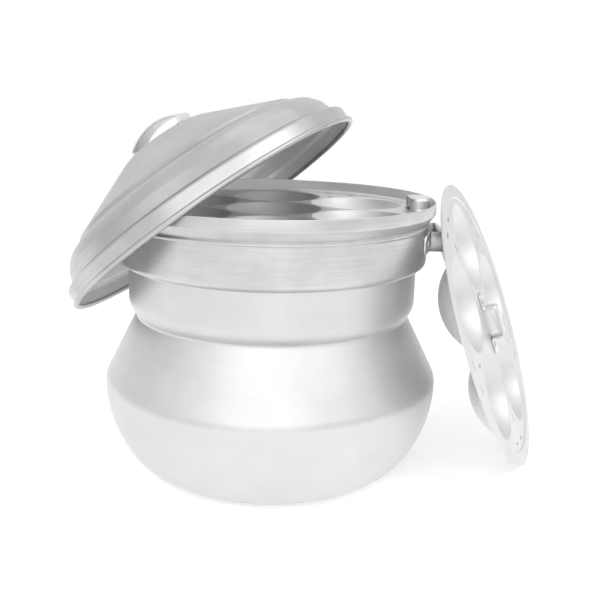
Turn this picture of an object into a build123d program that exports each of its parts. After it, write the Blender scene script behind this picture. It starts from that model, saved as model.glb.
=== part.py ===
from build123d import *
import math
import os

# Idli steamer: a spun pot with a stepped collar, a domed lid hooked over its rim, one tray of
# seven cups in the collar and one tray of five cups leaning against the side.
# Origin at the middle of the pot's base, +Z up, millimetres.

os.makedirs("parts", exist_ok=True)

# Shared values
overrun = 2.0
seat_gap = 0.15
part_gap = 0.35
shank_gap = 0.08

# Pot: radii are outside, heights are above the base
pot_height = 217.0
pot_wall = 1.2
belly_radius = 133.0
base_share = 0.6316
bowl_height_share = 0.3318
bowl_heel_radius = 38.0
belly_band = 4.0
neck_height_share = 0.58065
flare_height = 8.0
collar_radius = 120.8
ledge_width = 5.7
ledge_rise = 7.5
rim_band = 8.5
step_width = 7.3
step_rise = 2.5
step_depth = 48.5
neck_inset = 5.8
belly_fillet_share = 0.95
neck_fillet = 2.5
flare_fillet = 18.0
step_inner_fillet = 1.5
step_outer_fillet = 5.0
ledge_fillet = 2.0
rim_fillet = 4.0

base_radius = belly_radius * base_share
bowl_height = pot_height * bowl_height_share
neck_height = pot_height * neck_height_share
belly_top = bowl_height + belly_band
rim_radius = collar_radius + ledge_width
band_radius = collar_radius - step_width
neck_radius = band_radius - neck_inset
cone_lean = math.atan2(belly_radius - neck_radius, neck_height - belly_top)
belly_fillet = belly_band * belly_fillet_share / math.tan(abs(cone_lean) / 2)
step_height = pot_height - step_depth
ledge_top = pot_height - rim_band
ledge_foot = ledge_top - ledge_rise

# Pot handles: bent strap, one on each side
handle_strap = 2.0
handle_width = 15.0
handle_top_depth = 22.0
handle_reach = 12.2
handle_half_span = 24.0
handle_foot = 20.0
handle_bend = 3.0
handle_corner = 5.0

# Rivets of the pot's handles and of the lid's handle
rivet_shank = 1.9
rivet_head = 3.9
rivet_head_height = 1.9
rivet_tail = 3.2
rivet_tail_height = 0.8

# Rivets of the tray straps
pin_shank = 1.3
pin_head = 2.5
pin_head_height = 1.0
pin_tail = 2.1
pin_tail_height = 0.5

# Trays: pressed sheet with round cups
tray_sheet = 1.0
tray_play = 0.4
cup_share = 0.3096
cup_depth_share = 0.548
cup_lip = 1.5
cup_radius = collar_radius * cup_share
cup_depth = cup_radius * cup_depth_share
cup_ball = (cup_radius**2 + cup_depth**2) / (cup_depth + cup_depth)

# Upper tray: one cup in the middle and six round it
upper_cup_count = 6
upper_pitch_share = 0.6336
upper_first_angle = 30.0
upper_overhang = 1.8
upper_slot_angles = (60.0, 120.0, 240.0, 300.0)
upper_slot_shares = (0.9, 0.76)

# Lower tray: five cups round a strap
lower_cup_count = 5
lower_pitch_share = 0.552
lower_first_angle = 27.0
border_width = 10.0
border_step = 1.2
border_bend = 1.0
lower_slot_shares = (0.855, 0.68)
lower_radius = collar_radius - pot_wall - tray_play
lower_cup_pitch = lower_radius * lower_pitch_share

# Steam slots, in groups of three
slot_length = 8.5
slot_width = 2.6
slot_spread_angle = 6.0

# Hat-shaped lifting straps of the trays
strap_sheet = 1.2
strap_width_share = 0.228
strap_height = 11.4
strap_window_share = 0.365
strap_length_share = 0.775
strap_bend = 2.0
strap_edge_margin = 2.2
strap_width = lower_cup_pitch * strap_width_share
strap_window = lower_cup_pitch * strap_window_share
strap_length = lower_cup_pitch * strap_length_share

# Lid: height is above the middle of its rolled rim
lid_wall = 1.1
lid_play = 2.9
lid_height = 73.5
lid_bead = 2.1
lid_radius_shares = (1.0, 1.0, 0.9525, 0.927, 0.877, 0.789, 0.777, 0.31, 0.06, 0.0)
lid_height_shares = (0.0, 0.155, 0.186, 0.32, 0.43, 0.498, 0.535, 0.945, 0.998, 1.0)
lid_fillet_shares = (0.0153, 0.006, 0.09, 0.09, 0.006, 0.006, 0.077, 0.3)
lid_lean_angle = 37.3
lid_heading_angle = 164.25
lid_place_shares = (-0.478, 0.1347)
lid_steps = 720

# Lid handle: arched strap with its feet turned in
lid_handle_strap = 1.6
lid_handle_width = 20.0
lid_handle_length = 53.0
lid_handle_leg = 7.4
lid_handle_rise = 3.8
lid_handle_foot = 14.0
lid_handle_bend = 2.2
lid_handle_angle = -18.0

# Leaning tray
lean_angle = 69.7
lean_heading_angle = -18.5
lean_across_share = 0.142
lean_rounds = 24
ring_steps = 180
face_steps = 12

# Shares of a rivet's dome and of a strap's rounded ends
dome_shares = (0.71, 0.74)
strap_corner_share = 0.2


def aimed(lean, heading):
    """Gives the unit direction that leans by an angle from +Z toward a heading."""
    tilt, turn = math.radians(lean), math.radians(heading)
    return Vector(math.sin(tilt) * math.cos(turn), math.sin(tilt) * math.sin(turn), math.cos(tilt))


def upright(seat):
    """Gives the plane that stands on a seat plane and holds its X and Z directions."""
    return Plane(origin=seat.origin, x_dir=seat.x_dir, z_dir=-seat.y_dir)


def drill(place, radius, reach):
    """Cuts a round hole both ways from a place in the part being made."""
    with BuildSketch(place) as bore:
        Circle(radius)
    extrude(bore.sketch, amount=reach, both=True, mode=Mode.SUBTRACT)


def finish(part, name):
    """Labels a finished piece and writes it."""
    part.label = name
    export_step(part, f"parts/{name}.step")


def rivet_group(places, shank, grip, cap, cap_height, tail, tail_height):
    """Makes one group of rivets, each with its cap above its place and its tail below the grip."""
    with BuildPart() as group:
        for place in places:
            with BuildSketch(upright(place)):
                with BuildLine():
                    dome = ThreePointArc(
                        (0, cap_height),
                        (cap * dome_shares[0], cap_height * dome_shares[1]),
                        (cap, 0),
                    )
                    Polyline(
                        dome @ 1,
                        (shank, 0),
                        (shank, -grip),
                        (tail, -grip),
                        (tail, -grip - tail_height),
                        (0, -grip - tail_height),
                        dome @ 0,
                    )
                make_face()
            revolve(axis=Axis(place.origin, place.z_dir))
    return group.part


def hat_strap(section, holes):
    """Makes one hat-shaped strap along a section plane, with a hole at each of its rivets."""
    low = seat_gap + strap_sheet / 2
    high = strap_height - strap_sheet / 2
    leg = (strap_window + strap_sheet) / 2
    with BuildPart() as strap:
        with BuildSketch(section):
            with BuildLine():
                FilletPolyline(
                    (-strap_length / 2, low),
                    (-leg, low),
                    (-leg, high),
                    (leg, high),
                    (leg, low),
                    (strap_length / 2, low),
                    radius=strap_bend,
                )
            trace(line_width=strap_sheet)
        extrude(amount=strap_width / 2, both=True)
        ends = strap.edges().filter_by(lambda e: abs(e.length - strap_sheet) < seat_gap)
        fillet(ends, radius=strap_width * strap_corner_share)
        for hole in holes:
            drill(hole, pin_shank + shank_gap, strap_sheet + overrun)
    return strap.part


def pin_places(section):
    """Gives the two rivet places of a strap, on the top of its feet."""
    leg = (strap_window + strap_sheet) / 2
    reach = (strap_length / 2 + leg) / 2
    rise = section.y_dir * (strap_sheet + seat_gap + seat_gap)
    return [
        Plane(origin=section.origin + section.x_dir * side + rise, x_dir=section.x_dir, z_dir=section.y_dir)
        for side in (-reach, reach)
    ]


def tray(seat, radius, cups, slot_turns, slot_shares, holes, border, step):
    """Makes one tray: pressed sheet on a seat plane, with its cups hanging below the sheet."""
    section = upright(seat)
    axis = Axis(seat.origin, seat.z_dir)
    with BuildPart() as cup:
        with BuildSketch(section):
            with Locations((0, cup_ball - cup_depth)):
                Circle(cup_ball + tray_sheet)
                Circle(cup_ball, mode=Mode.SUBTRACT)
            Rectangle(radius, radius, align=(Align.MIN, Align.MAX), mode=Mode.INTERSECT)
        revolve(axis=axis)
    with BuildPart() as sheet:
        with BuildSketch(section):
            with BuildLine():
                inner = radius - border
                if step:
                    FilletPolyline(
                        (0, -tray_sheet / 2),
                        (inner - step, -tray_sheet / 2),
                        (inner, step - tray_sheet / 2),
                        (radius, step - tray_sheet / 2),
                        radius=border_bend,
                    )
                else:
                    Line((0, -tray_sheet / 2), (radius, -tray_sheet / 2))
            trace(line_width=tray_sheet)
        revolve(axis=axis)
        for across, along in cups:
            move = seat.x_dir * across + seat.y_dir * along
            middle = seat.origin + move + seat.z_dir * (cup_ball - cup_depth)
            with Locations(Plane(origin=middle, x_dir=seat.x_dir, z_dir=seat.z_dir)):
                Sphere(cup_ball, mode=Mode.SUBTRACT)
            add(cup.part.moved(Location(move)))
        lips = sheet.edges().filter_by(GeomType.CIRCLE)
        fillet(lips.filter_by(lambda e: abs(e.radius - cup_radius) < seat_gap), radius=cup_lip)
        with BuildSketch(seat.offset(-tray_sheet)):
            for turn in slot_turns:
                for share, spread, tilt in (
                    (slot_shares[0], slot_spread_angle, 90),
                    (slot_shares[0], -slot_spread_angle, 90),
                    (slot_shares[1], 0, 0),
                ):
                    angle = math.radians(turn + spread)
                    with Locations((radius * share * math.cos(angle), radius * share * math.sin(angle))):
                        SlotOverall(slot_length, slot_width, rotation=turn + spread + tilt)
        extrude(amount=tray_sheet + step + overrun, both=True, mode=Mode.SUBTRACT)
        for hole in holes:
            drill(hole, pin_shank + shank_gap, tray_sheet + strap_sheet + overrun)
    return sheet.part


def ring_of(count, pitch, first):
    """Gives the middles of cups set evenly on a circle."""
    turns = [math.radians(first + 360 * index / count) for index in range(count)]
    return [(pitch * math.cos(turn), pitch * math.sin(turn)) for turn in turns]


# Pot handles and their rivets
handle_out = collar_radius + handle_reach
handle_low = pot_height - handle_top_depth - handle_width
handle_foot_radius = collar_radius + seat_gap + handle_strap / 2
handle_leg_turn = math.asin(handle_half_span / handle_foot_radius)
handle_foot_turn = handle_foot / handle_foot_radius
handle_rivet_turn = handle_leg_turn + handle_foot_turn / 2
handle_rivet_radius = collar_radius + handle_strap + seat_gap + seat_gap
pot_rivet_places = []
for side in (0, math.pi):
    for turn in (side - handle_rivet_turn, side + handle_rivet_turn):
        outward = Vector(math.cos(turn), math.sin(turn), 0)
        rise = Vector(0, 0, handle_low + handle_width / 2)
        pot_rivet_places.append(Plane(origin=outward * handle_rivet_radius + rise, z_dir=outward))

with BuildPart() as pot_handle_right:
    with BuildSketch(Plane.XY.offset(handle_low)):
        with BuildLine() as handle_path:
            bar = handle_out - handle_strap / 2
            rear = CenterArc(
                (0, 0), handle_foot_radius, math.degrees(handle_leg_turn), math.degrees(handle_foot_turn)
            )
            front = CenterArc(
                (0, 0), handle_foot_radius, -math.degrees(handle_leg_turn), -math.degrees(handle_foot_turn)
            )
            Polyline(rear @ 0, (bar, handle_half_span), (bar, -handle_half_span), front @ 0)
            bends = handle_path.vertices().filter_by(lambda v: abs(v.Y) <= handle_half_span + seat_gap)
            fillet(bends, radius=handle_bend)
        trace(line_width=handle_strap)
    extrude(amount=handle_width)
    ends = pot_handle_right.edges().filter_by(lambda e: abs(e.length - handle_strap) < seat_gap)
    fillet(ends, radius=handle_corner)
    for place in pot_rivet_places[:2]:
        drill(place, rivet_shank + shank_gap, handle_strap + overrun)
finish(pot_handle_right.part, "pot_handle_right")

with BuildPart() as pot_handle_left:
    mirror(pot_handle_right.part, about=Plane.YZ)
finish(pot_handle_left.part, "pot_handle_left")

pot_handle_rivets = rivet_group(
    pot_rivet_places,
    rivet_shank,
    handle_strap + pot_wall + seat_gap * 3,
    rivet_head,
    rivet_head_height,
    rivet_tail,
    rivet_tail_height,
)
finish(pot_handle_rivets, "pot_handle_rivets")

# Pot body, spun from one sheet
heel_width = belly_radius - base_radius
heel_rest = bowl_height - bowl_heel_radius
bowl_side_radius = (heel_width**2 + heel_rest**2 - bowl_heel_radius**2) / (
    heel_width + heel_width - bowl_heel_radius - bowl_heel_radius
)
heel_lean = math.atan2(heel_rest, bowl_side_radius - heel_width)
heel_end = (
    base_radius + bowl_heel_radius * math.cos(heel_lean),
    bowl_heel_radius - bowl_heel_radius * math.sin(heel_lean),
)

with BuildPart() as pot_body:
    with BuildSketch(Plane.XZ) as pot_section:
        with BuildLine():
            base_line = Line((0, 0), (base_radius, 0))
            heel = TangentArc(base_line @ 1, heel_end, tangent=base_line % 1)
            TangentArc(heel @ 1, (belly_radius, bowl_height), tangent=heel % 1)
            FilletPolyline(
                (belly_radius, bowl_height),
                (belly_radius, belly_top),
                (neck_radius, neck_height),
                (band_radius, neck_height + flare_height),
                (band_radius, step_height - step_rise),
                (collar_radius, step_height),
                (collar_radius, ledge_foot),
                (rim_radius, ledge_top),
                (rim_radius, pot_height + overrun),
                radius=[
                    belly_fillet,
                    neck_fillet,
                    flare_fillet,
                    step_inner_fillet,
                    step_outer_fillet,
                    ledge_fillet,
                    rim_fillet,
                ],
            )
            Line((rim_radius, pot_height + overrun), (0, pot_height + overrun))
            Line((0, pot_height + overrun), (0, 0))
        make_face()
        mirror(about=Plane.YZ)
        offset(amount=-pot_wall, mode=Mode.SUBTRACT)
        with Locations((0, pot_height)):
            Rectangle(2 * rim_radius + overrun, overrun + overrun, align=(Align.CENTER, Align.MIN),
                      mode=Mode.SUBTRACT)
        with Locations((0, pot_height / 2)):
            Rectangle(max(belly_radius, rim_radius) + overrun, pot_height + overrun,
                      align=(Align.MIN, Align.CENTER), mode=Mode.INTERSECT)
    revolve(axis=Axis.Z)
    for place in pot_rivet_places:
        drill(place, rivet_shank + shank_gap, handle_strap + pot_wall + overrun)
finish(pot_body.part, "pot_body")

# Upper tray, on the ledge under the rim
ledge_slope = ledge_rise / ledge_width
upper_radius = rim_radius - pot_wall - tray_play - upper_overhang
ledge_inside = ledge_foot + (upper_radius - collar_radius) * ledge_slope
ledge_inside += (pot_wall + part_gap) * math.hypot(1, ledge_slope)
upper_seat = Plane.XY.offset(ledge_inside + tray_sheet)
upper_strap_middle = upper_radius - strap_edge_margin - strap_width / 2
upper_sections = [
    Plane(
        origin=upper_seat.origin + Vector(side * upper_strap_middle, 0, 0),
        x_dir=(0, 1, 0),
        z_dir=(1, 0, 0),
    )
    for side in (1, -1)
]
upper_pins = [pin_places(section) for section in upper_sections]
upper_cups = [(0, 0)] + ring_of(upper_cup_count, upper_radius * upper_pitch_share, upper_first_angle)
upper_tray = tray(
    upper_seat,
    upper_radius,
    upper_cups,
    upper_slot_angles,
    upper_slot_shares,
    upper_pins[0] + upper_pins[1],
    0,
    0,
)
finish(upper_tray, "upper_tray")
for section, pins, name in zip(upper_sections, upper_pins, ("right", "left")):
    finish(hat_strap(section, pins), "upper_tray_strap_" + name)

pin_grip = strap_sheet + tray_sheet + seat_gap * 3
pin_sizes = (pin_shank, pin_grip, pin_head, pin_head_height, pin_tail, pin_tail_height)
finish(rivet_group(upper_pins[0] + upper_pins[1], *pin_sizes), "upper_tray_rivets")

# Lid, hooked over the rim: it slides down its own axis until it meets the pot
lid_radius = rim_radius + lid_play + lid_wall
lid_outline = [
    (lid_radius * across, lid_height * up) for across, up in zip(lid_radius_shares, lid_height_shares)
]


def lid_room(away):
    """Gives how high the pot may reach in the lid, at a distance from the lid's axis."""
    if away > lid_radius + lid_bead + part_gap:
        return math.inf
    if away > lid_radius - lid_wall - part_gap:
        return -lid_bead - part_gap
    for (outer, low), (inner, high) in zip(lid_outline[1:], lid_outline[2:]):
        if inner <= away <= outer:
            run = outer - inner
            slant = math.hypot(run, high - low) / run
            return low + (high - low) * (outer - away) / run - (lid_wall + part_gap) * slant
    return lid_height


lid_up = aimed(lid_lean_angle, lid_heading_angle)
lid_start = Vector(rim_radius * lid_place_shares[0], rim_radius * lid_place_shares[1], pot_height)
lid_drop = -math.inf
for index in range(lid_steps):
    turn = 2 * math.pi * index / lid_steps
    for radius, depth_share in ((rim_radius - pot_wall, 0), (rim_radius, 0), (rim_radius, 0.5), (rim_radius, 1)):
        reach = Vector(radius * math.cos(turn), radius * math.sin(turn), pot_height - rim_band * depth_share)
        reach -= lid_start
        height = reach.dot(lid_up)
        away = math.sqrt(max(reach.dot(reach) - height**2, 0))
        lid_drop = max(lid_drop, height - lid_room(away))
lid_seat = Plane(
    origin=lid_start + lid_up * lid_drop, x_dir=Vector(lid_up.Z, 0, -lid_up.X), z_dir=lid_up
)
lid_axis = Axis(lid_seat.origin, lid_seat.z_dir)

crown_slope = (lid_height_shares[8] - lid_height_shares[7]) * lid_height
crown_slope /= (lid_radius_shares[7] - lid_radius_shares[8]) * lid_radius
lid_handle_seat = Plane(
    origin=lid_seat.origin, x_dir=lid_seat.x_dir.rotate(Axis((0, 0, 0), lid_up), lid_handle_angle), z_dir=lid_up
)
foot_outer = lid_handle_length / 2 - lid_handle_strap / 2
foot_inner = foot_outer - lid_handle_foot
crown_outer = lid_height * lid_height_shares[7] + (lid_radius * lid_radius_shares[7] - foot_outer) * crown_slope
crown_inner = crown_outer + lid_handle_foot * crown_slope
foot_rise = seat_gap + lid_handle_strap / 2
foot_lean = math.atan(crown_slope)
lid_rivet_places = []
for side in (-1, 1):
    outward = lid_handle_seat.x_dir * side
    upward = (lid_up * math.cos(foot_lean) + outward * math.sin(foot_lean)).normalized()
    middle = outward * (foot_outer + foot_inner) / 2 + lid_up * (crown_outer + crown_inner) / 2
    lift = upward * (lid_handle_strap + seat_gap + seat_gap)
    lid_rivet_places.append(
        Plane(origin=lid_seat.origin + middle + lift, x_dir=lid_handle_seat.y_dir, z_dir=upward)
    )

with BuildPart() as lid_shell:
    with BuildSketch(upright(lid_seat)):
        with BuildLine():
            FilletPolyline(
                (lid_radius, -lid_bead - overrun),
                *lid_outline[1:],
                radius=[lid_radius * share for share in lid_fillet_shares],
            )
            Polyline((0, lid_height), (0, -lid_bead - overrun), (lid_radius, -lid_bead - overrun))
        make_face()
        mirror(about=Plane.YZ)
        offset(amount=-lid_wall, mode=Mode.SUBTRACT)
        Rectangle(lid_radius + overrun, lid_height + overrun, align=(Align.MIN, Align.MIN),
                  mode=Mode.INTERSECT)
        with Locations((lid_radius, 0)):
            Circle(lid_bead)
    revolve(axis=lid_axis)
    for place in lid_rivet_places:
        drill(place, rivet_shank + shank_gap, lid_handle_strap + lid_wall + overrun)
finish(lid_shell.part, "lid_shell")

with BuildPart() as lid_handle:
    with BuildSketch(upright(lid_handle_seat)):
        with BuildLine() as arch_path:
            top = crown_outer + lid_handle_leg
            left_foot = Polyline(
                (-foot_inner, crown_inner + foot_rise), (-foot_outer, crown_outer + foot_rise), (-foot_outer, top)
            )
            right_foot = Polyline(
                (foot_inner, crown_inner + foot_rise), (foot_outer, crown_outer + foot_rise), (foot_outer, top)
            )
            ThreePointArc(left_foot @ 1, (0, top + lid_handle_rise), right_foot @ 1)
            bends = arch_path.vertices().filter_by(lambda v: abs(v.X) > foot_outer - seat_gap)
            fillet(bends, radius=lid_handle_bend)
        trace(line_width=lid_handle_strap)
    extrude(amount=lid_handle_width / 2, both=True)
    for place in lid_rivet_places:
        drill(place, rivet_shank + shank_gap, lid_handle_strap + seat_gap * 3)
finish(lid_handle.part, "lid_handle")

lid_rivets = rivet_group(
    lid_rivet_places,
    rivet_shank,
    lid_handle_strap + lid_wall + seat_gap * 4,
    rivet_head,
    rivet_head_height,
    rivet_tail,
    rivet_tail_height,
)
finish(lid_rivets, "lid_handle_rivets")

# Lower tray, leaning on the pot's right side with its edge on the ground
lower_cup_places = ring_of(lower_cup_count, lower_cup_pitch, lower_first_angle)
lean_out = aimed(lean_angle, lean_heading_angle)
lean_down = Vector(lean_out.X * lean_out.Z, lean_out.Y * lean_out.Z, lean_out.Z**2 - 1).normalized()
lean_across = lean_out.cross(lean_down)
lean_side = rim_radius * lean_across_share
lean_rise = part_gap + lean_out.Z * tray_sheet - lean_down.Z * lower_radius

leaned_on = []
for index in range(ring_steps):
    turn = 2 * math.pi * index / ring_steps
    for radius, height in (
        (rim_radius, pot_height),
        (rim_radius, ledge_top),
        (collar_radius, ledge_foot),
        (collar_radius, step_height),
        (band_radius, neck_height + flare_height),
        (belly_radius, belly_top),
        (belly_radius, bowl_height),
    ):
        leaned_on.append(Vector(radius * math.cos(turn), radius * math.sin(turn), height))
for across in range(-face_steps, face_steps + 1):
    flat = (handle_half_span - handle_bend) * across / face_steps
    for up in range(face_steps + 1):
        leaned_on.append(Vector(handle_out, flat, handle_low + handle_width * up / face_steps))


def tray_room(down, across):
    """Gives the underside of the leaning tray at a place in its plane."""
    room = -tray_sheet
    for cup_down, cup_across in lower_cup_places:
        away = math.hypot(down - cup_down, across - cup_across)
        if away < cup_radius + cup_lip:
            room = min(room, cup_ball - cup_depth - math.sqrt((cup_ball + tray_sheet) ** 2 - away**2))
    return room - part_gap


def leaned_out(point):
    """Gives how far out along X the tray leans if it rests on one point of the pot."""
    place = Vector(rim_radius, lean_side, lean_rise)
    for _ in range(lean_rounds):
        reach = point - place
        down, across = reach.dot(lean_down), reach.dot(lean_across)
        place += Vector((reach.dot(lean_out) - tray_room(down, across)) / lean_out.X, 0, 0)
    return place.X if math.hypot(down, across) < lower_radius + part_gap else -math.inf


lean_at = Vector(max(leaned_out(point) for point in leaned_on), lean_side, lean_rise)
lower_seat = Plane(origin=lean_at, x_dir=lean_down, z_dir=lean_out)
lower_section = upright(lower_seat)
lower_pins = pin_places(lower_section)
lower_tray = tray(
    lower_seat,
    lower_radius,
    lower_cup_places,
    [lower_first_angle + (index + 0.5) * 360 / lower_cup_count for index in range(lower_cup_count)],
    lower_slot_shares,
    lower_pins,
    border_width,
    border_step,
)
finish(lower_tray, "lower_tray")
finish(hat_strap(lower_section, lower_pins), "lower_tray_strap")
finish(rivet_group(lower_pins, *pin_sizes), "lower_tray_rivets")
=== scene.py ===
"""Dresses the idli steamer: spun pot, hooked lid, cupped trays, straps, handles and rivets.

Lengths in the classes are millimetres, as in the part's drawings, and become metres in the meshes.
"""

import logging
import math
from dataclasses import dataclass
from enum import Enum
from typing import Any, Iterable, Optional, Sequence, Union

import bmesh
import bpy
from mathutils import Matrix, Vector


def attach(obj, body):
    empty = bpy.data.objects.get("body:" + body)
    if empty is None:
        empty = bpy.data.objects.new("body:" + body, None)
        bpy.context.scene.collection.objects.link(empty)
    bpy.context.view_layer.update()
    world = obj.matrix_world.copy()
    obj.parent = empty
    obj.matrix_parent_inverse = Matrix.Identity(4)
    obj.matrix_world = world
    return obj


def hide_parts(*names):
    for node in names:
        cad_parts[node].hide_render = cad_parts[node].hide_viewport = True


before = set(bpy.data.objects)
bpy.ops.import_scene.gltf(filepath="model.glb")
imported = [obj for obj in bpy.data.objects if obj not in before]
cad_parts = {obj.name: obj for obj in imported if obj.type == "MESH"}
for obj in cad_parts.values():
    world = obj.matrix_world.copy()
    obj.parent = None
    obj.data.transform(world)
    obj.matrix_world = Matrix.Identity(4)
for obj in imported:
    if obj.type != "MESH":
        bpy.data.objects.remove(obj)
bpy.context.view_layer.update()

MM = 0.001
WHITE = (1.0, 1.0, 1.0, 1.0)
Point = tuple[float, float]
Place = tuple[float, float, float]

# Span of a noise texture's values that is used, for the duller patches and for the fine marks.
PATCH_SPAN = (0.3, 0.7)
MARK_SPAN = (0.25, 0.75)
# Share of a side that a rounded corner may take.
SIDE_SHARE = 0.98
# Distance from the axis under which a ring of points is one point, millimetres.
ON_AXIS = 1e-4
# Angle between two faces above which their edge stays sharp, degrees.
CREASE = 32.0

log = logging.getLogger("idli_steamer")


class Zone(Enum):
    """Material slot of a stretch of sheet."""

    SHOWN = 0
    BACK = 1
    BOWL = 2
    COLLAR = 3


class Grain(Enum):
    """How a sheet's surface was worked, which sets how its fine marks run."""

    SPUN = "rings round the piece's own axis"
    MILLED = "fine marks along the rolled sheet"
    CAST = "even grit with no direction"


def linear(hex_colour: str) -> tuple[float, float, float, float]:
    """Turns an sRGB colour into linear light.

    Args:
        hex_colour: Six hex digits, such as "d8d9da".

    Returns:
        Red, green, blue and alpha, each from 0 to 1.
    """
    parts = [int(hex_colour[i : i + 2], 16) / 255 for i in (0, 2, 4)]
    curve = [c / 12.92 if c <= 0.04045 else ((c + 0.055) / 1.055) ** 2.4 for c in parts]
    return (curve[0], curve[1], curve[2], 1.0)


def add_node(
    tree: bpy.types.NodeTree,
    kind: str,
    settings: Optional[dict[Union[str, int], Any]] = None,
    links: Optional[dict[Union[str, int], bpy.types.NodeSocket]] = None,
) -> bpy.types.Node:
    """Adds one node with its settings and its incoming links.

    Args:
        tree: The node tree that gets the node.
        kind: Blender's name for the kind of node.
        settings: Values for its sockets, by name or number, or for its own options.
        links: Sockets of other nodes, by the name or number of the input they feed.

    Returns:
        The new node.
    """
    node = tree.nodes.new(kind)
    for name, value in (settings or {}).items():
        if isinstance(name, int) or name in node.inputs:
            node.inputs[name].default_value = value
        else:
            setattr(node, name, value)
    for name, source in (links or {}).items():
        tree.links.new(source, node.inputs[name])
    return node


@dataclass(frozen=True)
class Aluminium:
    """One finish of bare aluminium.

    Attributes:
        name: The material's name.
        colour: Colour of the metal, sRGB hex.
        tarnish: Colour where it is duller, sRGB hex.
        roughness: Middle of the roughness.
        swing: How far the roughness moves either way.
        anisotropy: How far highlights smear across the marks.
        grain: How the marks run.
        pitch: Distance between two marks, millimetres.
        relief: Height of the marks, millimetres.
        streak: Length of one mark round a spun piece, millimetres.
        contrast: How much the marks lighten and darken the metal.
        girth: Way round a typical spun piece, millimetres, which turns streak into a share of a turn.
        cloud: Size of the duller patches, millimetres.
        cloud_depth: How far a patch goes towards the duller colour.
        bump: Strength of the relief.
        mill_share: Width of a rolled sheet's marks as a share of their length.
    """

    name: str
    colour: str
    tarnish: str
    roughness: float
    swing: float
    anisotropy: float
    grain: Grain
    pitch: float
    relief: float
    streak: float = 90.0
    contrast: float = 0.45
    girth: float = 780.0
    cloud: float = 38.0
    cloud_depth: float = 0.55
    bump: float = 0.5
    mill_share: float = 0.12

    def material(self) -> bpy.types.Material:
        """Makes the material, or gives it back if it was made before.

        Returns:
            The material.
        """
        made = bpy.data.materials.get(self.name)
        if made:
            return made
        made = bpy.data.materials.new(self.name)
        made.use_nodes = True
        tree = made.node_tree
        tree.nodes.clear()
        place = add_node(tree, "ShaderNodeTexCoord").outputs["Object"]
        marks = self.marks(tree, place)
        clouds = add_node(
            tree,
            "ShaderNodeTexNoise",
            {"Scale": 1 / (self.cloud * MM), "Detail": 3.0, "Roughness": 0.6},
            {"Vector": place},
        ).outputs["Fac"]
        patches = add_node(
            tree,
            "ShaderNodeMapRange",
            {
                "From Min": PATCH_SPAN[0],
                "From Max": PATCH_SPAN[1],
                "To Min": 0.0,
                "To Max": self.cloud_depth,
            },
            {"Value": clouds},
        ).outputs["Result"]
        tone = add_node(
            tree, "ShaderNodeMath", {"operation": "MULTIPLY_ADD", 1: self.contrast}, {0: marks, 2: patches}
        ).outputs["Value"]
        # Inputs 6 and 7 of a mix of colours are the colours, and output 2 is the mix.
        colour = add_node(
            tree,
            "ShaderNodeMix",
            {"data_type": "RGBA", "clamp_factor": True, 6: linear(self.colour), 7: linear(self.tarnish)},
            {0: tone},
        ).outputs[2]
        roughness = add_node(
            tree,
            "ShaderNodeMapRange",
            {
                "From Min": MARK_SPAN[0],
                "From Max": MARK_SPAN[1],
                "To Min": self.roughness - self.swing,
                "To Max": self.roughness + self.swing,
            },
            {"Value": marks},
        ).outputs["Result"]
        bump = add_node(
            tree,
            "ShaderNodeBump",
            {"Strength": self.bump, "Distance": self.relief * MM},
            {"Height": marks},
        ).outputs["Normal"]
        links = {"Base Color": colour, "Roughness": roughness, "Normal": bump}
        if self.anisotropy:
            around = add_node(tree, "ShaderNodeTangent", {"direction_type": "UV_MAP"})
            links["Tangent"] = around.outputs["Tangent"]
        shader = add_node(
            tree,
            "ShaderNodeBsdfPrincipled",
            {"Metallic": 1.0, "Anisotropic": self.anisotropy},
            links,
        )
        add_node(tree, "ShaderNodeOutputMaterial", links={"Surface": shader.outputs["BSDF"]})
        return made

    def marks(self, tree: bpy.types.NodeTree, place: bpy.types.NodeSocket) -> bpy.types.NodeSocket:
        """Draws the fine marks of the surface.

        Args:
            tree: The node tree that gets the nodes.
            place: Place on the piece, in its own metres.

        Returns:
            The socket that carries the marks, about 0 to 1.
        """
        if self.grain is Grain.SPUN:
            # The turn is bent into a circle, so that the streaks meet where it closes.
            unwrapped = add_node(tree, "ShaderNodeTexCoord").outputs["UV"]
            spread = add_node(tree, "ShaderNodeSeparateXYZ", links={"Vector": unwrapped})
            turn = add_node(
                tree, "ShaderNodeMath", {"operation": "MULTIPLY", 1: 2 * math.pi}, {0: spread.outputs["X"]}
            ).outputs["Value"]
            reach = self.girth / self.streak * self.pitch * MM / (2 * math.pi)
            sides = []
            for way in ("COSINE", "SINE"):
                side = add_node(tree, "ShaderNodeMath", {"operation": way}, {0: turn}).outputs["Value"]
                side = add_node(tree, "ShaderNodeMath", {"operation": "MULTIPLY", 1: reach}, {0: side})
                sides.append(side.outputs["Value"])
            place = add_node(
                tree, "ShaderNodeCombineXYZ", links={"X": sides[0], "Y": spread.outputs["Y"], "Z": sides[1]}
            ).outputs["Vector"]
        elif self.grain is Grain.MILLED:
            stretch = (1.0, self.mill_share, 1.0)
            place = add_node(
                tree, "ShaderNodeVectorMath", {"operation": "MULTIPLY", 1: stretch}, {0: place}
            ).outputs["Vector"]
        return add_node(
            tree,
            "ShaderNodeTexNoise",
            {"Scale": 1 / (self.pitch * MM), "Detail": 4.0, "Roughness": 0.65},
            {"Vector": place},
        ).outputs["Fac"]


# Real tool and roller marks lie a third of a millimetre apart or closer, which is too fine to show, so the
# pitch of each finish is drawn as coarse as the marks need to show.

# Aluminium sheet spun and polished on the lathe: bright satin, smooth enough for one soft highlight.
SPUN_BRIGHT = Aluminium(
    "spun_polished_aluminium", "d4d4d4", "c6c6c6", 0.46, 0.03, 0.3, Grain.SPUN, 1.4, 0.008, 120.0, 0.4
)
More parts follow.
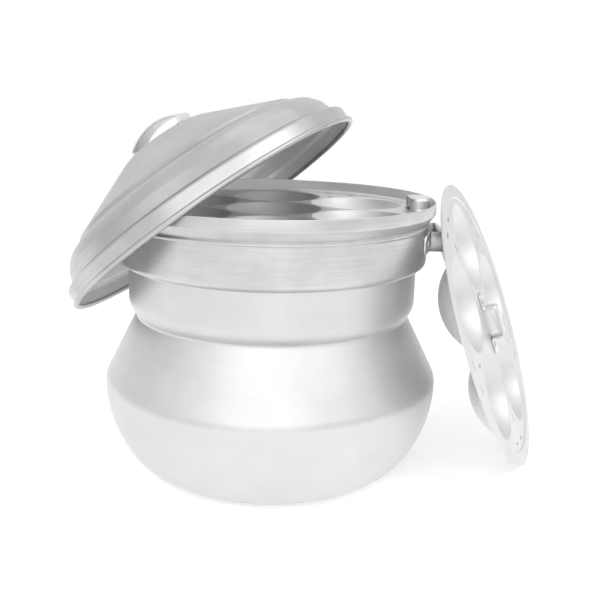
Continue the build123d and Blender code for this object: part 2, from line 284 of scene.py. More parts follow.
# The collar, trued by hand on the lathe afterwards: short rings round it catch the light in streaks.
TURNED_COLLAR = Aluminium(
    "turned_collar_aluminium", "dadada", "bcbcbc", 0.41, 0.05, 0.35, Grain.SPUN, 1.2, 0.014, 42.0, 0.95
)
# The same sheet inside, left as the lathe tool leaves it: softer, with coarser rings, and painted almost
# white as painted light that lifts the shade inside the pot and the lid.
SPUN_INSIDE_PAINTED_LIGHT = Aluminium(
    "spun_raw_painted_light_aluminium", "fafafa", "eeeeee", 0.6, 0.04, 0.0, Grain.SPUN, 2.2, 0.012
)
# The bowl, etched after spinning: an even milky white with no sharp reflections.
ETCHED_BOWL = Aluminium(
    "etched_aluminium", "dadada", "d0d0d0", 0.6, 0.03, 0.0, Grain.CAST, 1.2, 0.01
)
# The lid, spun and buffed by hand: greyer than the pot, with rings that can be counted.
SPUN_LID = Aluminium(
    "buffed_spun_aluminium", "c4c4c4", "adadad", 0.36, 0.05, 0.4, Grain.SPUN, 1.5, 0.014, 120.0, 0.6
)
# Tray sheet, rolled and then pressed: satin, with fine marks one way.
PRESSED_SHEET = Aluminium(
    "pressed_sheet_aluminium", "dcdcdc", "cccccc", 0.52, 0.04, 0.0, Grain.MILLED, 1.1, 0.008
)
# Its underside, which the press leaves unpolished: softer, and paler as painted light that lifts the shade
# under the tray.
RAW_SHEET_PAINTED_LIGHT = Aluminium(
    "raw_sheet_painted_light_aluminium", "eeeeee", "e4e4e4", 0.74, 0.04, 0.0, Grain.MILLED, 1.1, 0.01
)
# Strip for straps and handles, cut and bent: a little duller in scattered patches.
BENT_STRIP = Aluminium(
    "bent_strip_aluminium", "e4e4e4", "d0d0d0", 0.4, 0.04, 0.0, Grain.MILLED, 0.9, 0.006, contrast=0.3
)
# Rivets, closed by a cup-shaped punch that polishes their heads.
PUNCHED_RIVET = Aluminium(
    "punched_rivet_aluminium", "e4e4e4", "cccccc", 0.26, 0.05, 0.0, Grain.CAST, 0.8, 0.012
)


def rounded(points: Sequence[Point], radii: Sequence[float], steps: int) -> list[Point]:
    """Rounds the inner corners of an open path.

    Args:
        points: Corners of the path.
        radii: One radius for each inner corner.
        steps: How many stretches each rounded corner has.

    Returns:
        The path with arcs in place of its inner corners.
    """
    path = [points[0]]
    for before, at, after, radius in zip(points, points[1:], points[2:], radii):
        a, p, b = Vector(before), Vector(at), Vector(after)
        u, v = (a - p).normalized(), (b - p).normalized()
        half = u.angle(v) / 2
        room = min((a - p).length, (b - p).length) * SIDE_SHARE
        reach = min(radius / math.tan(half), room)
        start, end = p + u * reach, p + v * reach
        middle = p + (u + v).normalized() * (reach / math.cos(half))
        first = start - middle
        turn = first.angle_signed(end - middle)
        for i in range(steps + 1):
            angle = -turn * i / steps
            spun = Vector(
                (
                    first.x * math.cos(angle) - first.y * math.sin(angle),
                    first.x * math.sin(angle) + first.y * math.cos(angle),
                )
            )
            path.append(tuple(middle + spun))
    path.append(points[-1])
    return path


def arc(middle: Point, radius: float, first: float, last: float, steps: int) -> list[Point]:
    """Gives points on an arc.

    Args:
        middle: Centre of the arc.
        radius: Its radius.
        first: Angle where it starts, degrees.
        last: Angle where it ends, degrees.
        steps: How many stretches it has.

    Returns:
        The points, both ends included.
    """
    turns = [math.radians(first + (last - first) * i / steps) for i in range(steps + 1)]
    return [(middle[0] + radius * math.cos(t), middle[1] + radius * math.sin(t)) for t in turns]


def shifted(path: Sequence[Point], amount: float) -> list[Point]:
    """Gives the path that runs beside another, to the left of its direction.

    Args:
        path: An open path.
        amount: Distance between the two.

    Returns:
        The path beside it, with as many points.
    """
    beside = []
    for i, (x, y) in enumerate(path):
        ax, ay = path[max(i - 1, 0)]
        bx, by = path[min(i + 1, len(path) - 1)]
        run = math.hypot(bx - ax, by - ay)
        beside.append((x - (by - ay) / run * amount, y + (bx - ax) / run * amount))
    return beside


def lathe(
    mesh: bmesh.types.BMesh, section: Sequence[Point], turns: int, zones: Sequence[Zone] = ()
) -> None:
    """Adds a body of revolution about Z to a mesh, unwrapped as (share of a turn, metres along the section).

    Args:
        mesh: The mesh that gets it.
        section: Closed section as (distance from the axis, height), millimetres.
        turns: How many faces go round.
        zones: Zone of each stretch of the section, or nothing where all of it is shown.
    """
    spread = mesh.loops.layers.uv.verify()
    along = [0.0]
    for a, b in zip(section, (*section[1:], section[0])):
        along.append(along[-1] + math.dist(a, b) * MM)
    rings = []
    for away, height in section:
        if away < ON_AXIS:
            rings.append([mesh.verts.new((0.0, 0.0, height * MM))])
            continue
        ring = []
        for i in range(turns):
            angle = 2 * math.pi * i / turns
            ring.append(
                mesh.verts.new((away * MM * math.cos(angle), away * MM * math.sin(angle), height * MM))
            )
        rings.append(ring)
    for i, low in enumerate(rings):
        high = rings[(i + 1) % len(rings)]
        for j in range(turns):
            k = (j + 1) % turns
            corners = {
                low[j % len(low)]: (j, along[i]),
                low[k % len(low)]: (j + 1, along[i]),
                high[k % len(high)]: (j + 1, along[i + 1]),
                high[j % len(high)]: (j, along[i + 1]),
            }
            if len(corners) < 3:
                continue
            face = mesh.faces.new(list(corners))
            face.smooth = True
            face.material_index = zones[i].value if zones else Zone.SHOWN.value
            for loop in face.loops:
                turn, run = corners[loop.vert]
                loop[spread].uv = (turn / turns, run)


@dataclass(frozen=True)
class Seat:
    """Where a piece sits: its origin in metres and its X and Z directions."""

    origin: Place = (0.0, 0.0, 0.0)
    x_dir: Place = (1.0, 0.0, 0.0)
    z_dir: Place = (0.0, 0.0, 1.0)

    def matrix(self) -> Matrix:
        """Gives the seat as a matrix.

        Returns:
            The matrix that moves a piece from its own frame to its seat.
        """
        z = Vector(self.z_dir).normalized()
        x = (Vector(self.x_dir) - z * z.dot(Vector(self.x_dir))).normalized()
        y = z.cross(x)
        turned = Matrix((x, y, z)).transposed().to_4x4()
        return Matrix.Translation(Vector(self.origin)) @ turned


def place_mesh(
    name: str, mesh: bmesh.types.BMesh, seat: Seat, finishes: Iterable[Aluminium]
) -> bpy.types.Object:
    """Turns a finished mesh into a piece of the scene.

    Args:
        name: Name of the piece.
        mesh: The mesh, in its own frame; it is freed here.
        seat: Where that frame sits.
        finishes: Its finishes in the order of Zone.

    Returns:
        The new object.
    """
    bmesh.ops.recalc_face_normals(mesh, faces=mesh.faces)
    bmesh.ops.transform(mesh, matrix=seat.matrix(), verts=mesh.verts)
    data = bpy.data.meshes.new(name)
    mesh.to_mesh(data)
    mesh.free()
    data.set_sharp_from_angle(angle=math.radians(CREASE))
    for finish in finishes:
        data.materials.append(finish.material())
    piece = bpy.data.objects.new(name, data)
    bpy.context.scene.collection.objects.link(piece)
    return piece


@dataclass
class Pot:
    """The pot: one spun sheet from its flat base to its stepped collar.

    The fillets follow the corners from the belly up: belly, neck, flare, step, collar, the bead's four and
    the ledge. etch_rise is how far the milky finish reaches above the bowl.
    """

    height: float = 217.0
    wall: float = 1.2
    base_radius: float = 84.0
    belly_radius: float = 133.0
    bowl_height: float = 72.0
    heel_radius: float = 38.0
    belly_band: float = 4.0
    neck_radius: float = 107.7
    neck_height: float = 126.0
    band_radius: float = 113.5
    flare_height: float = 8.0
    step_height: float = 168.5
    step_rise: float = 2.5
    collar_radius: float = 120.8
    ledge_foot: float = 201.0
    ledge_top: float = 208.5
    rim_radius: float = 126.5
    etch_rise: float = 1.5
    bead: float = 1.1
    bead_height: float = 3.4
    bead_shares: tuple[float, float] = (0.6, 0.3)
    fillets: tuple[float, ...] = (16.0, 2.5, 18.0, 1.5, 5.0, 0.4, 0.5, 0.5, 0.4, 1.6)
    heel_steps: int = 16
    side_steps: int = 20
    fillet_steps: int = 10
    rim_steps: int = 6
    turns: int = 288

    def rim(self, first: float, last: float) -> list[Point]:
        """Gives the rim's rolled edge from one angle in degrees to another."""
        edge = self.wall / 2
        return arc((self.rim_radius - edge, self.height - edge), edge, first, last, self.rim_steps)

    def outline(self) -> list[Point]:
        """Gives the outside of the pot from the middle of its base to its rim.

        Returns:
            Points as (distance from the axis, height), millimetres.
        """
        width = self.belly_radius - self.base_radius
        rest = self.bowl_height - self.heel_radius
        side = (width**2 + rest**2 - self.heel_radius**2) / (2 * width - 2 * self.heel_radius)
        lean = math.degrees(math.atan2(rest, side - width))
        bowl = arc((self.base_radius, self.heel_radius), self.heel_radius, -90, -lean, self.heel_steps)
        bowl += arc((self.belly_radius - side, self.bowl_height), side, -lean, 0, self.side_steps)[1:-1]
        crest = self.collar_radius + self.bead
        low, high = (self.ledge_foot - self.bead_height * share for share in self.bead_shares)
        upper = rounded(
            [
                (self.belly_radius, self.bowl_height),
                (self.belly_radius, self.bowl_height + self.belly_band),
                (self.neck_radius, self.neck_height),
                (self.band_radius, self.neck_height + self.flare_height),
                (self.band_radius, self.step_height - self.step_rise),
                (self.collar_radius, self.step_height),
                (self.collar_radius, self.ledge_foot - self.bead_height),
                (crest, low),
                (crest, high),
                (self.collar_radius, self.ledge_foot),
                (self.rim_radius, self.ledge_top),
                (self.rim_radius, self.height),
            ],
            self.fillets,
            self.fillet_steps,
        )
        return [(0.0, 0.0)] + bowl + upper[:-1] + self.rim(0, 90)

    def zone_at(self, height: float) -> Zone:
        """Says which zone of the outside a height lies in.

        Args:
            height: Height above the ground, millimetres.

        Returns:
            The zone, which changes above the bowl and above the step.
        """
        if height < self.bowl_height + self.etch_rise:
            return Zone.BOWL
        return Zone.COLLAR if height > self.step_height else Zone.SHOWN

    def build(self) -> list[bpy.types.Object]:
        """Builds and dresses the pot's body.

        Returns:
            The pieces made.
        """
        outside = self.outline()
        inside = shifted(outside, self.wall)[: -self.rim_steps - 1] + self.rim(180, 90)[:-1]
        inside[0] = (0.0, self.wall)
        section = outside + inside[::-1]
        zones = [self.zone_at(height) for _, height in outside] + [Zone.BACK] * len(inside)
        mesh = bmesh.new()
        lathe(mesh, section, self.turns, zones)
        # The inside takes the almost white inside finish, painted light against the shade within the pot.
        body = place_mesh(
            "pot_spun_body", mesh, Seat(), (SPUN_BRIGHT, SPUN_INSIDE_PAINTED_LIGHT, ETCHED_BOWL, TURNED_COLLAR)
        )
        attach(body, "pot")
        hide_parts("pot_body")
        return [body]


@dataclass
class Lid:
    """The lid: a spun dome with two steps and a rolled rim, hooked over the pot."""

    seat: Seat = Seat(
        (-0.04702382, 0.01324818, 0.19866491), (0.80646, 0.0, 0.59129), (-0.58324, 0.16449, 0.79547)
    )
    radius: float = 130.5
    height: float = 73.5
    wall: float = 1.1
    bead: float = 2.1
    radius_shares: tuple[float, ...] = (1.0, 1.0, 0.9525, 0.927, 0.877, 0.789, 0.777, 0.31, 0.06, 0.0)
    height_shares: tuple[float, ...] = (0.0, 0.155, 0.186, 0.32, 0.43, 0.498, 0.535, 0.945, 0.998, 1.0)
    fillet_shares: tuple[float, ...] = (0.0153, 0.006, 0.09, 0.09, 0.006, 0.006, 0.077, 0.3)
    fillet_steps: int = 10
    bead_steps: int = 20
    turns: int = 288

    def outline(self) -> list[Point]:
        """Gives the outside of the lid from its rim to the middle of its crown.

        Returns:
            Points as (distance from the axis, height), millimetres.
        """
        shares = zip(self.radius_shares, self.height_shares)
        corners = [(self.radius * away, self.height * up) for away, up in shares]
        return rounded(corners, [self.radius * share for share in self.fillet_shares], self.fillet_steps)

    def build(self) -> list[bpy.types.Object]:
        """Builds and dresses the lid's dome.

        Returns:
            The pieces made.
        """
        outside = self.outline()
        inside = shifted(outside, self.wall)
        inside[-1] = (0.0, self.height - self.wall)
        inside[0] = (self.radius - self.wall, 0.0)
        section = outside + inside[::-1]
        zones = [Zone.SHOWN] * len(outside) + [Zone.BACK] * len(inside)
        mesh = bmesh.new()
        lathe(mesh, section, self.turns, zones)
        lathe(mesh, arc((self.radius, 0.0), self.bead, 0, 360, self.bead_steps)[:-1], self.turns)
        # The lid's inside takes the almost white inside finish, painted light against the shade under the
        # lid.
        dome = place_mesh("lid_spun_dome", mesh, self.seat, (SPUN_LID, SPUN_INSIDE_PAINTED_LIGHT))
        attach(dome, "lid")
        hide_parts("lid_shell")
        return [dome]


@dataclass
class LidHandle:
    """The lid's handle: an arched strap with its feet turned in, riveted to the crown.

    foot_height and crown_height are those of a foot's middle line at its outer and inner end.
    """

    seat: Seat
    strap: float = 1.6
    width: float = 20.0
    half: float = 25.7
    foot: float = 14.0
    foot_height: float = 72.17
    crown_height: float = 73.84
    leg: float = 7.2
    rise: float = 6.8
    bend: float = 2.4
    edge: float = 0.35
    turn: float = -18.0
    arch_fillet: float = 30.0
    arch_steps: int = 24
    fillet_steps: int = 5

    def outline(self) -> list[Point]:
        """Gives the middle line of the strap, from one foot over the arch to the other.

        Returns:
            Points as (distance from the lid's axis, height), millimetres.
        """
        top = self.foot_height + self.leg
        ball = (self.half**2 + self.rise**2) / (2 * self.rise)
        reach = math.degrees(math.asin(self.half / ball))
        over = arc((0.0, top + self.rise - ball), ball, 90 + reach, 90 - reach, self.arch_steps)
        corners = [(-self.half + self.foot, self.crown_height), (-self.half, self.foot_height)]
        corners += over + [(self.half, self.foot_height), (self.half - self.foot, self.crown_height)]
        bends, smooth = [self.bend] * 2, [self.arch_fillet] * (len(over) - 2)
        return rounded(corners, bends + smooth + bends, self.fillet_steps)

    def build(self) -> list[bpy.types.Object]:
        """Builds and dresses the handle.

        Returns:
            The pieces made.
        """
        line = self.outline()
        mesh = bmesh.new()
        rings = []
        side, face = self.width / 2, self.strap / 2
        for across, thick in (
            (-side, face - self.edge),
            (-side + self.edge, face),
            (side - self.edge, face),
            (side, face - self.edge),
        ):
            loop = shifted(line, thick) + shifted(line, -thick)[::-1]
            rings.append([mesh.verts.new((x * MM, across * MM, z * MM)) for x, z in loop])
        count = len(rings[0])
        for low, high in zip(rings, rings[1:]):
            for i in range(count):
                j = (i + 1) % count
                mesh.faces.new((low[i], low[j], high[j], high[i])).smooth = True
        for ring in (rings[0], rings[-1]):
            for i in range(count // 2 - 1):
                mesh.faces.new((ring[i], ring[i + 1], ring[count - 2 - i], ring[count - 1 - i]))
        turned = Matrix.Rotation(math.radians(self.turn), 3, "Z")
        bmesh.ops.rotate(mesh, verts=mesh.verts, matrix=turned)
        strap = place_mesh("lid_arched_strap", mesh, self.seat, (BENT_STRIP,))
        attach(strap, "lid")
        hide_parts("lid_handle")
        return [strap]


@dataclass
class Tray:
    """One tray: a disc of sheet with round cups pressed into it and slots for the steam.

    pitch is the distance of a round cup's middle from the tray's, first the angle of the first of them, and
    slot_shares are the places of a group's outer slots and of its inner slot as shares of the radius. touch
    is how near to the underside a corner counts as part of it.
    """

    name: str
    body: str
    node: str
    seat: Seat
    radius: float
    round_cups: int
    pitch: float
    first: float
    middle_cup: bool
    slot_turns: tuple[float, ...]
    slot_shares: tuple[float, float]
    border: float = 0.0
    step: float = 0.0
    sheet: float = 1.0
    cup_radius: float = 37.4
    cup_depth: float = 20.5
    lip: float = 1.5
    slot_length: float = 8.5
    slot_width: float = 2.6
    slot_spread: float = 6.0
    slot_steps: int = 8
    lip_steps: int = 6
    cup_steps: int = 28
    border_fillet: float = 1.0
    border_steps: int = 8
    touch: float = 0.001
    cup_turns: int = 96
    edge_turns: int = 288

    def cups(self) -> list[Point]:
        """Gives the middles of the cups.

        Returns:
            One point for each cup, millimetres.
        """
        turns = [math.radians(self.first + 360 * i / self.round_cups) for i in range(self.round_cups)]
        ring = [(self.pitch * math.cos(t), self.pitch * math.sin(t)) for t in turns]
        return ([(0.0, 0.0)] if self.middle_cup else []) + ring

    def slots(self) -> list[list[Point]]:
        """Gives the outline of each steam slot.

        Returns:
            One closed list of points for each slot, millimetres.
        """
        outlines = []
        half, end = (self.slot_length - self.slot_width) / 2, self.slot_width / 2
        ends = arc((half, 0.0), end, -90, 90, self.slot_steps)
        ends += arc((-half, 0.0), end, 90, 270, self.slot_steps)
        for turn in self.slot_turns:
            for share, spread, tilt in (
                (self.slot_shares[0], self.slot_spread, 90.0),
                (self.slot_shares[0], -self.slot_spread, 90.0),
                (self.slot_shares[1], 0.0, 0.0),
            ):
                angle = math.radians(turn + spread)
                way = math.radians(turn + spread + tilt)
                x, y = self.radius * share * math.cos(angle), self.radius * share * math.sin(angle)
                c, s = math.cos(way), math.sin(way)
                outlines.append([(x + u * c - v * s, y + u * s + v * c) for u, v in ends])
        return outlines

    def plate(self, mesh: bmesh.types.BMesh, radius: float, mouth: float) -> None:
        """Adds the flat sheet with its holes.

        Args:
            mesh: The mesh that gets it.
            radius: Outer radius of the flat, millimetres.
            mouth: Radius of the hole at each cup, millimetres.
        """
        outlines = [arc((0.0, 0.0), radius, 0, 360, self.edge_turns)[:-1]]
        outlines += [arc(cup, mouth, 0, 360, self.cup_turns)[:-1] for cup in self.cups()]
        outlines += self.slots()
        curve = bpy.data.curves.new(self.name + "_outline", "CURVE")
        curve.dimensions = "2D"
        curve.fill_mode = "BOTH"
        curve.extrude = self.sheet * MM / 2
        for outline in outlines:
            spline = curve.splines.new("POLY")
            spline.points.add(len(outline) - 1)
            for point, (x, y) in zip(spline.points, outline):
                point.co = (x * MM, y * MM, 0.0, 1.0)
            spline.use_cyclic_u = True
        drawn = bpy.data.objects.new(curve.name, curve)
        bpy.context.scene.collection.objects.link(drawn)
        bpy.context.view_layer.update()
        worked_out = drawn.evaluated_get(bpy.context.evaluated_depsgraph_get())
        flat = bpy.data.meshes.new_from_object(worked_out)
        flat.transform(Matrix.Translation((0.0, 0.0, -self.sheet * MM / 2)))
        mesh.from_mesh(flat)
        bpy.data.objects.remove(drawn)
        bpy.data.curves.remove(curve)
        bpy.data.meshes.remove(flat)

    def cup_section(self) -> list[Point]:
        """Gives the closed section of one cup, from its rounded lip down and back up outside.

        Returns:
            Points as (distance from the cup's axis, height), millimetres.
        """
        ball = (self.cup_radius**2 + self.cup_depth**2) / (2 * self.cup_depth)
        rise = ball - self.cup_depth
        away = math.sqrt((ball + self.lip) ** 2 - (rise + self.lip) ** 2)
        tilt = math.degrees(math.atan2(rise + self.lip, away))
        back = math.degrees(math.asin((rise + self.sheet) / (ball + self.sheet)))
        lip = arc((away, -self.lip), self.lip, 90, 180 - tilt, self.lip_steps)
        inner = arc((0.0, rise), ball, -tilt, -90, self.cup_steps)
        outer = arc((0.0, rise), ball + self.sheet, -90, -back, self.cup_steps)
        bottom = [(0.0, -self.cup_depth), (0.0, -self.cup_depth - self.sheet)]
        return lip + inner[1:-1] + bottom + outer[1:] + [(away, -self.sheet)]

    def border_section(self, flat: float) -> list[Point]:
        """Gives the closed section of the raised border.

        Args:
            flat: Outer radius of the flat sheet, where the border starts, millimetres.

        Returns:
            Points as (distance from the tray's axis, height), millimetres.
        """
        middle, inner = self.sheet / 2, self.radius - self.border
        line = rounded(
            [
                (flat, -middle),
                (inner - self.step, -middle),
                (inner, self.step - middle),
                (self.radius, self.step - middle),
            ],
            [self.border_fillet] * 2,
            self.border_steps,
        )
        return shifted(line, middle) + shifted(line, -middle)[::-1]

    def build(self) -> list[bpy.types.Object]:
        """Builds and dresses the tray.

        Returns:
            The pieces made.
        """
        section = self.cup_section()
        lowest = min(range(len(section)), key=lambda i: section[i][1])
        zones = [Zone.SHOWN if i < lowest - 1 else Zone.BACK for i in range(len(section))]
        flat = self.radius - self.border - self.step - self.border_fillet if self.border else self.radius
        mesh = bmesh.new()
        self.plate(mesh, flat, section[0][0])
        for x, y in self.cups():
            cup = bmesh.new()
            lathe(cup, section, self.cup_turns, zones)
            bmesh.ops.translate(cup, verts=cup.verts, vec=(x * MM, y * MM, 0.0))
            cup_data = bpy.data.meshes.new("cup")
            cup.to_mesh(cup_data)
            cup.free()
            mesh.from_mesh(cup_data)
            bpy.data.meshes.remove(cup_data)
        if self.border:
            lathe(mesh, self.border_section(flat), self.edge_turns)
        for face in mesh.faces:
            below = all(abs(corner.co.z + self.sheet * MM) < self.touch * MM for corner in face.verts)
            if below and len(face.verts) == 3:
                face.material_index = Zone.BACK.value
        # The underside and the cups' outsides take the paler sheet, painted light against the shade under
        # the tray.
        piece = place_mesh(self.name, mesh, self.seat, (PRESSED_SHEET, RAW_SHEET_PAINTED_LIGHT))
        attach(piece, self.body)
        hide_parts(self.node)
        return [piece]


@dataclass
class Fittings:
    """Straps, handles and rivets, which keep their solids and get their finish here.

    weld is the distance in millimetres under which two corners are one, and crease the angle in degrees
    above which an edge stays sharp.
    """

    strip: tuple[str, ...] = (
        "pot_handle_right",
        "pot_handle_left",
        "upper_tray_strap_right",
        "upper_tray_strap_left",
        "lower_tray_strap",
    )
    rivets: tuple[str, ...] = (
        "pot_handle_rivets",
        "upper_tray_rivets",
        "lower_tray_rivets",
        "lid_handle_rivets",
    )
    weld: float = 0.01
    crease: float = 28.0

    def dress(self) -> list[bpy.types.Object]:
        """Gives each fitting its finish and smooth bends.

        Returns:
            The pieces dressed.
        """
        dressed = []
        for names, finish in ((self.strip, BENT_STRIP), (self.rivets, PUNCHED_RIVET)):
            for name in names:
                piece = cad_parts[name]
                piece.data.materials.clear()
                piece.data.materials.append(finish.material())
                weld = piece.modifiers.new("joined_corners", "WELD")
                weld.merge_threshold = self.weld * MM
                piece.data.shade_smooth()
                piece.data.set_sharp_from_angle(angle=math.radians(self.crease))
                dressed.append(piece)
        return dressed


@dataclass(frozen=True)
class Lamp:
    """One soft lamp.

    Attributes:
        name: Its name.
        place: Where it hangs, metres.
        aim: What it points at, metres.
        size: Width and height of its face, metres.
        watts: Its power.
    """

    name: str
    place: Place
    aim: Place
    size: Point
    watts: float

    def hang(self) -> bpy.types.Object:
        """Hangs the lamp.

        Returns:
            The lamp.
        """
        data = bpy.data.lights.new(self.name, "AREA")
        data.shape = "RECTANGLE"
        data.size, data.size_y = self.size
        data.energy = self.watts
        lamp = bpy.data.objects.new(self.name, data)
        bpy.context.scene.collection.objects.link(lamp)
        way = Vector(self.aim) - Vector(self.place)
        turned = way.to_track_quat("-Z", "Y").to_matrix().to_4x4()
        lamp.matrix_world = Matrix.Translation(Vector(self.place)) @ turned
        return lamp


@dataclass
class Studio:
    """Pale floor, white room, soft lamps and the photograph's camera.

    Attributes:
        lens: The camera's focal length, millimetres.
        sensor: Width of its sensor, millimetres.
        clip: Nearest and farthest distance that it sees, metres.
        eye: Where it stands, metres.
        pitch: How far it looks down, degrees.
        roll: How far it leans, degrees.
        overhead: Direction in which the mirrored room is white.
        overhead_range: How far a direction agrees with it where the room is dimmest and where it is white.
        front_level: The mirrored room's level on the camera's side.
        light_level: The level at which the room lights the floor.
        floor_radius: Radius of the floor, metres.
        floor_sides: How many sides it has.
        floor_drop: How far it lies under the object, millimetres.
        floor_colour: Colour of its paper, sRGB hex.
        floor_glow: What the floor adds for the camera, so that it is white.
        far_glow: What it adds in mirrors behind the object.
        glow_range: Where along Y this starts and where it is full, metres.
        lamps: The soft lamps.
    """

    lens: float = 49.8
    sensor: float = 36.0
    clip: Point = (0.01, 50.0)
    eye: Place = (0.0224, -0.6519, 0.2968)
    pitch: float = 14.1
    roll: float = 1.3
    overhead: Place = (0.0, 0.6, 0.8)
    overhead_range: Point = (-0.6, 0.5)
    front_level: float = 0.42
    light_level: float = 0.82
    floor_radius: float = 6.0
    floor_sides: int = 64
    floor_drop: float = 0.2
    floor_colour: str = "f4f4f4"
    floor_glow: float = 0.28
    far_glow: float = 0.5
    glow_range: Point = (-0.9, 0.3)
    lamps: tuple[Lamp, ...] = (
        Lamp("key", (-0.05, -1.5, 0.78), (0.0, 0.0, 0.12), (1.7, 1.5), 10.8),
        Lamp("left_wing", (-1.35, -1.0, 0.8), (0.0, 0.0, 0.12), (1.0, 1.3), 2.2),
        Lamp("right_wing", (1.3, -0.9, 0.62), (0.0, 0.0, 0.12), (1.2, 1.4), 1.6),
        Lamp("right_high", (0.9, -0.55, 1.2), (0.0, 0.0, 0.2), (0.9, 0.7), 4.0),
        Lamp("top", (0.1, 0.3, 1.5), (0.0, 0.0, 0.15), (1.2, 1.0), 1.5),
    )

    def camera(self) -> bpy.types.Object:
        """Sets the camera at the photograph's place.

        Returns:
            The camera.
        """
        data = bpy.data.cameras.new("photo_camera")
        data.lens = self.lens
        data.sensor_width = self.sensor
        data.clip_start, data.clip_end = self.clip
        camera = bpy.data.objects.new("photo_camera", data)
        bpy.context.scene.collection.objects.link(camera)
        tilt, roll = math.radians(self.pitch), math.radians(self.roll)
        ahead = Vector((0.0, math.cos(tilt), -math.sin(tilt)))
        right, up = Vector((1.0, 0.0, 0.0)), Vector((0.0, math.sin(tilt), math.cos(tilt)))
        turned_right = right * math.cos(roll) + up * math.sin(roll)
        turned_up = up * math.cos(roll) - right * math.sin(roll)
        frame_of_view = Matrix((turned_right, turned_up, -ahead)).transposed().to_4x4()
        camera.matrix_world = Matrix.Translation(Vector(self.eye)) @ frame_of_view
        bpy.context.scene.camera = camera
        return camera

    def seen(self, tree: bpy.types.NodeTree, path: bpy.types.Node) -> bpy.types.NodeSocket:
        """Tests whether a ray of a light path is the camera's, straight or through something clear."""
        rays = {0: path.outputs["Is Camera Ray"], 1: path.outputs["Is Transmission Ray"]}
        return add_node(tree, "ShaderNodeMath", {"operation": "MAXIMUM"}, rays).outputs["Value"]

    def floor(self) -> bpy.types.Object:
        """Lays the pale floor, which keeps the shadow and is white to the camera.

        Returns:
            The floor.
        """
        mesh = bmesh.new()
        bmesh.ops.create_circle(mesh, cap_ends=True, segments=self.floor_sides, radius=self.floor_radius)
        data = bpy.data.meshes.new("floor")
        mesh.to_mesh(data)
        mesh.free()
        floor = bpy.data.objects.new("floor", data)
        floor.location.z = -self.floor_drop * MM
        bpy.context.scene.collection.objects.link(floor)
        paper = bpy.data.materials.new("white_studio_paper")
        paper.use_nodes = True
        tree = paper.node_tree
        tree.nodes.clear()
        path = add_node(tree, "ShaderNodeLightPath")
        shown = add_node(
            tree, "ShaderNodeMath", {"operation": "MULTIPLY", 1: self.floor_glow}, {0: self.seen(tree, path)}
        ).outputs["Value"]
        place = add_node(tree, "ShaderNodeTexCoord").outputs["Object"]
        along = add_node(tree, "ShaderNodeSeparateXYZ", links={"Vector": place}).outputs["Y"]
        near, far = self.glow_range
        pool = add_node(
            tree,
            "ShaderNodeMapRange",
            {"From Min": near, "From Max": far, "To Min": 0.0, "To Max": self.far_glow},
            {"Value": along},
        ).outputs["Result"]
        mirrored = add_node(
            tree, "ShaderNodeMath", {"operation": "MULTIPLY"}, {0: path.outputs["Is Glossy Ray"], 1: pool}
        ).outputs["Value"]
        glow = add_node(
            tree, "ShaderNodeMath", {"operation": "MAXIMUM"}, {0: shown, 1: mirrored}
        ).outputs["Value"]
        shader = add_node(
            tree,
            "ShaderNodeBsdfPrincipled",
            {
                "Base Color": linear(self.floor_colour),
                "Roughness": 0.9,
                "Specular IOR Level": 0.0,
                "Emission Color": WHITE,
            },
            {"Emission Strength": glow},
        )
        add_node(tree, "ShaderNodeOutputMaterial", links={"Surface": shader.outputs["BSDF"]})
        data.materials.append(paper)
        return floor

    def room(self) -> None:
        """Gives the world its room, white behind the object and dimmer in mirrors on the camera's side."""
        world = bpy.data.worlds.new("white_room")
        bpy.context.scene.world = world
        world.use_nodes = True
        tree = world.node_tree
        tree.nodes.clear()
        path = add_node(tree, "ShaderNodeLightPath")
        seen = self.seen(tree, path)
        backdrop = add_node(
            tree, "ShaderNodeMath", {"operation": "MAXIMUM"}, {0: seen, 1: path.outputs["Is Glossy Ray"]}
        ).outputs["Value"]
        direction = add_node(tree, "ShaderNodeTexCoord").outputs["Generated"]
        ahead = add_node(
            tree, "ShaderNodeVectorMath", {"operation": "DOT_PRODUCT", 1: self.overhead}, {0: direction}
        ).outputs["Value"]
        dimmest, whitest = self.overhead_range
        level = add_node(
            tree,
            "ShaderNodeMapRange",
            {"From Min": dimmest, "From Max": whitest, "To Min": self.front_level, "To Max": 1.0},
            {"Value": ahead},
        ).outputs["Result"]
        white = add_node(
            tree, "ShaderNodeMath", {"operation": "MAXIMUM"}, {0: seen, 1: level}
        ).outputs["Value"]
        light = add_node(tree, "ShaderNodeBackground", {"Color": WHITE, "Strength": self.light_level})
        shown = add_node(tree, "ShaderNodeBackground", {"Color": WHITE}, {"Strength": white})
        mix = add_node(
            tree,
            "ShaderNodeMixShader",
            links={0: backdrop, 1: light.outputs["Background"], 2: shown.outputs["Background"]},
        )
        add_node(tree, "ShaderNodeOutputWorld", links={"Surface": mix.outputs["Shader"]})

    def build(self) -> list[bpy.types.Object]:
        """Sets up the whole studio.

        Returns:
            The floor, the camera and the lamps.
        """
        bpy.context.scene.view_settings.view_transform = "Standard"
        self.room()
        return [self.floor(), self.camera()] + [lamp.hang() for lamp in self.lamps]


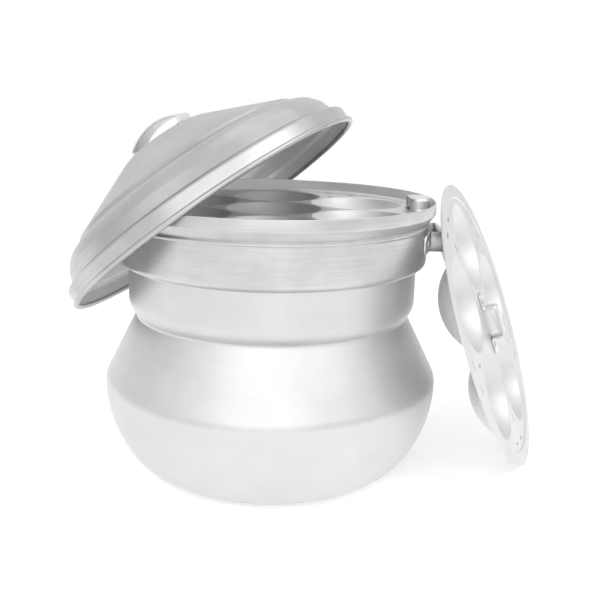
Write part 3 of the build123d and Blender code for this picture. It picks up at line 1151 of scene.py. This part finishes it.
UPPER_TRAY = Tray(
    name="upper_pressed_tray",
    body="upper_tray",
    node="upper_tray",
    seat=Seat((0.0, 0.0, 0.20758795)),
    radius=123.1,
    round_cups=6,
    pitch=78.0,
    first=30.0,
    middle_cup=True,
    slot_turns=(60.0, 120.0, 240.0, 300.0),
    slot_shares=(0.9, 0.76),
)
LOWER_TRAY = Tray(
    name="lower_pressed_tray",
    body="lower_tray",
    node="lower_tray",
    seat=Seat((0.17973795, 0.017963, 0.1124933), (0.32901, -0.11008, -0.93789), (0.88942, -0.2976, 0.34694)),
    radius=119.2,
    round_cups=5,
    pitch=65.8,
    first=27.0,
    middle_cup=False,
    slot_turns=(63.0, 135.0, 207.0, 279.0, 351.0),
    slot_shares=(0.855, 0.68),
    border=10.0,
    step=1.2,
)


def main() -> None:
    """Builds the studio and every piece in order."""
    logging.basicConfig(level=logging.INFO, format="%(name)s: %(message)s")
    lid = Lid()
    stages = (
        Studio().build,
        Pot().build,
        UPPER_TRAY.build,
        LOWER_TRAY.build,
        lid.build,
        LidHandle(lid.seat).build,
        Fittings().dress,
    )
    for build in stages:
        for piece in build():
            log.info("%s is in place", piece.name)


if __name__ == "__main__":
    main()
